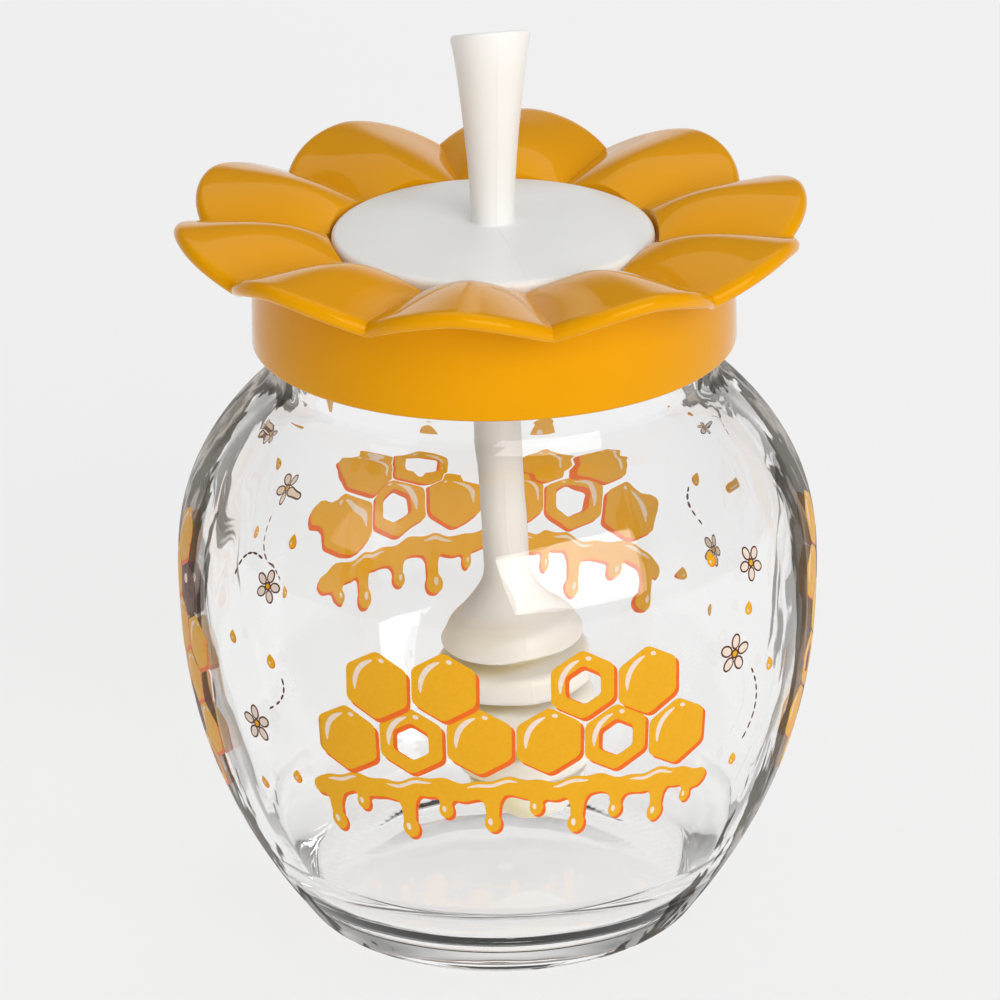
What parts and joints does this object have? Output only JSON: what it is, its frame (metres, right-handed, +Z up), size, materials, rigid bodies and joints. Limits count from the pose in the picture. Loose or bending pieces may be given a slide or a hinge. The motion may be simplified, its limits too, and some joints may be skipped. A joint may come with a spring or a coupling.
{
  "type": "honey jar",
  "caption": "Round clear glass honey jar, empty, with a flower-shaped screw lid and a ridged dipper whose disc closes the hole in the lid.",
  "frame": {"origin": "centre of the face the jar stands on", "axes": "+Z up along the jar's axis, -Y towards the front of the jar, where the camera was, +X to the right seen from the front"},
  "size_m": [0.1178, 0.1178, 0.1706],
  "materials": {
    "clear_glass": "clear, smooth, slightly wavy",
    "yellow_plastic": "glossy moulded",
    "white_plastic": "satin moulded"
  },
  "bodies": {
    "root": {"glass_jar": "clear_glass", "flower_lid": "yellow_plastic", "dipper": "white_plastic"}
  },
  "joints": []
}
